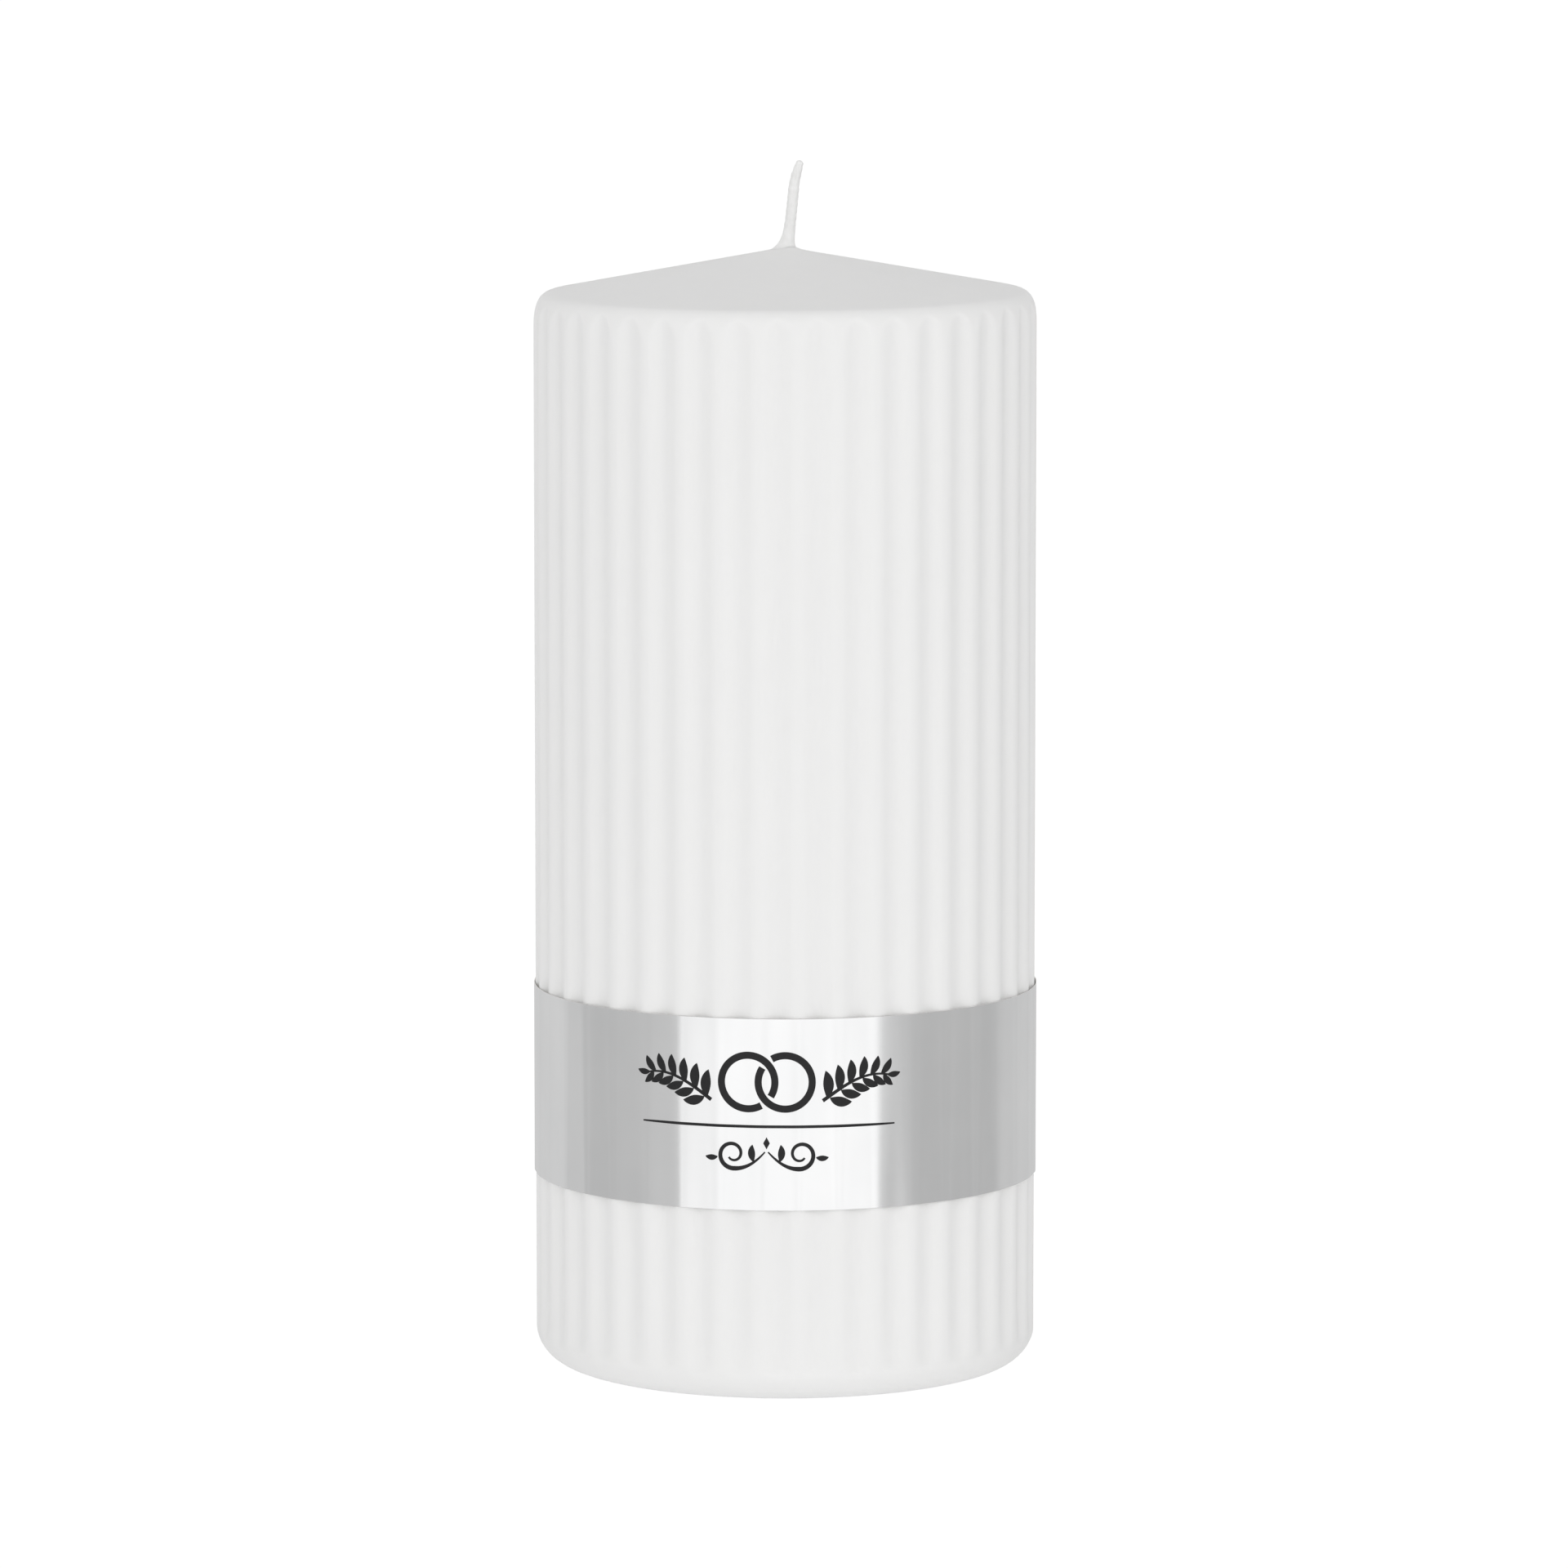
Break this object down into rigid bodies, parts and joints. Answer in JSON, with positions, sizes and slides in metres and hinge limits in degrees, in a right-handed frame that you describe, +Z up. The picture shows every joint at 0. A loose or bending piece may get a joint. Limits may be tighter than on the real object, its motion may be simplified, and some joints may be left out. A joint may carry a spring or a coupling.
{
  "type": "ribbed pillar candle",
  "caption": "Round pillar candle with shallow vertical ribs, a low cone top, a waxed wick and a foil paper band that slides off upwards.",
  "frame": {"origin": "centre of the flat foot, on the candle's axis", "axes": "+Z up along the candle's axis, the printed front of the band faces -Y, and the wick's tip leans towards +X"},
  "size_m": [0.0678, 0.068, 0.1618],
  "materials": {
    "core_wax": "pressed paraffin wax, matte and slightly translucent",
    "coat_wax": "smooth dipped hard wax, soft satin",
    "wick_cotton": "braided cotton soaked in clear wax",
    "sustainer_steel": "tinned sheet steel",
    "seal_wax": "poured paraffin wax",
    "band_foil": "bright aluminium foil laminated to white paper",
    "band_glue": "dried clear glue film"
  },
  "bodies": {
    "candle": {"wax_core": "core_wax", "wax_coat": "coat_wax", "wick": "wick_cotton", "wick_sustainer": "sustainer_steel", "foot_seal": "seal_wax"},
    "band": {"label_band": "band_foil", "label_adhesive": "band_glue"}
  },
  "joints": [
    {"name": "band_slide", "type": "slide", "parent": "candle", "child": "band", "axis": [0, 0, 1], "range_m": [-0.025, 0.14]}
  ]
}
